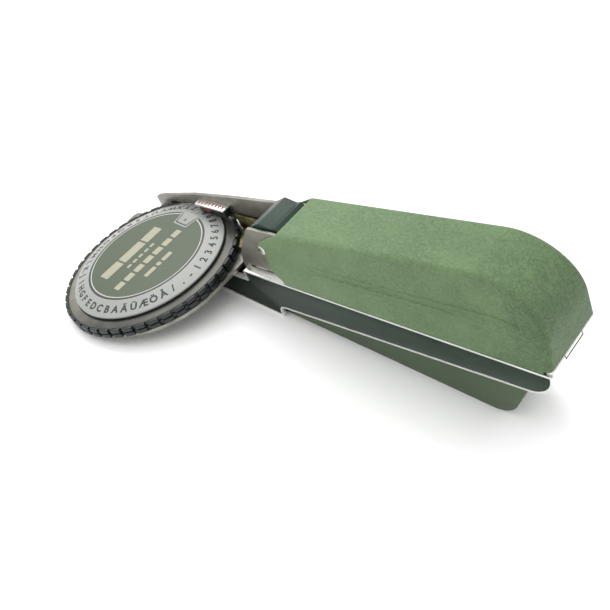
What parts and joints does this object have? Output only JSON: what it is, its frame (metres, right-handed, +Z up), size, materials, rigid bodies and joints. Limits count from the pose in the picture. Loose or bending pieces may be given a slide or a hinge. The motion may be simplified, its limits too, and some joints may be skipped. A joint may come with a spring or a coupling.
{
  "type": "label maker",
  "caption": "Hand-held embossing label maker with a lettered dial beside a long handle, a squeeze lever under it and a hinged cover over the tape.",
  "frame": {"origin": "middle of the bounding box, on the surface the tool rests on", "axes": "+Z up from the surface the tool lies on, +X along the handle from the dial to the rear, +Y to the side away from the dial"},
  "size_m": [0.2178, 0.0783, 0.0641],
  "materials": {
    "plate_steel": "satin nickel-plated sheet steel",
    "bright_steel": "bright plated steel",
    "dark_paint": "dark green satin paint",
    "black_plastic": "black moulded plastic",
    "brass": "plain brass",
    "printed_plastic": "pale printed plate with a green centre",
    "grey_plastic": "warm grey moulded plastic",
    "lever_paint": "mid green paint",
    "cover_paint": "light green wrinkle paint",
    "dark_plastic": "dark green moulded plastic",
    "rubber": "moulded rubber",
    "tape_vinyl": "green vinyl embossing tape"
  },
  "bodies": {
    "frame": {"frame_plate": "plate_steel", "chassis": "bright_steel", "side_panel_near": "dark_paint", "side_panel_far": "dark_paint", "frame_rivets": "bright_steel", "dial_axle": "bright_steel", "index_bracket": "black_plastic", "index_tag": "bright_steel", "tape_guide": "brass", "pressure_spring": "bright_steel", "pivot_pin": "bright_steel", "pivot_washers": "bright_steel", "plunger_guide": "brass", "return_spring": "bright_steel", "feed_hanger": "plate_steel", "feed_axle": "bright_steel", "magazine_tray": "plate_steel", "tray_rivets": "bright_steel", "spool_post": "bright_steel", "cover_studs": "bright_steel", "chassis_hinge": "bright_steel", "hinge_pin": "bright_steel", "bar_bridge": "plate_steel", "bar_spring": "bright_steel"},
    "dial": {"dial_face": "printed_plastic", "bevel_ring": "grey_plastic", "upper_wheel": "black_plastic", "wheel_spacer": "black_plastic", "punch_wheel": "black_plastic"},
    "lever": {"lever": "lever_paint", "striker_pad": "bright_steel"},
    "plunger": {"plunger": "bright_steel", "cutter_blade": "bright_steel"},
    "feed_roller": {"feed_roller": "rubber", "ratchet_wheel": "brass"},
    "tape": {"spool_core": "black_plastic", "tape_roll": "tape_vinyl"},
    "cover": {"cover": "cover_paint", "cover_hinge": "bright_steel"},
    "release_bar": {"release_bar": "dark_plastic"}
  },
  "joints": [
    {"name": "dial_spin", "type": "hinge", "parent": "frame", "child": "dial", "pos_m": [-0.06469, -0.00036, 0.01306], "axis": [-0.1049, -0.1778, 0.9785], "continuous": true},
    {"name": "lever_squeeze", "type": "hinge", "parent": "frame", "child": "lever", "pos_m": [-0.08903, 0.0244, 0.00554], "axis": [0.019, -0.9841, -0.1768], "range_deg": [0, 6.4], "stiffness_Nm_per_rad": 8, "springref_deg": -9.17, "deforming": ["return_spring"]},
    {"name": "plunger_lift", "type": "slide", "parent": "frame", "child": "plunger", "axis": [-0.1049, -0.1778, 0.9785], "range_m": [0, 0.00363]},
    {"name": "feed_spin", "type": "hinge", "parent": "frame", "child": "feed_roller", "pos_m": [-0.01778, 0.02678, 0.01637], "axis": [0.019, -0.9841, -0.1768], "range_deg": [0, 57.31]},
    {"name": "tape_spin", "type": "hinge", "parent": "frame", "child": "tape", "pos_m": [0.05138, 0.02434, 0.03735], "axis": [-0.019, 0.9841, 0.1768], "continuous": true},
    {"name": "cover_open", "type": "hinge", "parent": "frame", "child": "cover", "pos_m": [0.10737, 0.02292, 0.03487], "axis": [-0.019, 0.9841, 0.1768], "range_deg": [0, 75]},
    {"name": "bar_press", "type": "slide", "parent": "frame", "child": "release_bar", "axis": [0.1049, 0.1778, -0.9785], "range_m": [0, 0.002], "stiffness_N_per_m": 800, "springref_m": -0.003, "deforming": ["bar_spring"]}
  ],
  "couplings": [
    {"joint": "plunger_lift", "follows": "lever_squeeze", "m_per_rad": 0.032497},
    {"joint": "feed_spin", "follows": "lever_squeeze", "ratio": 8.9525}
  ]
}
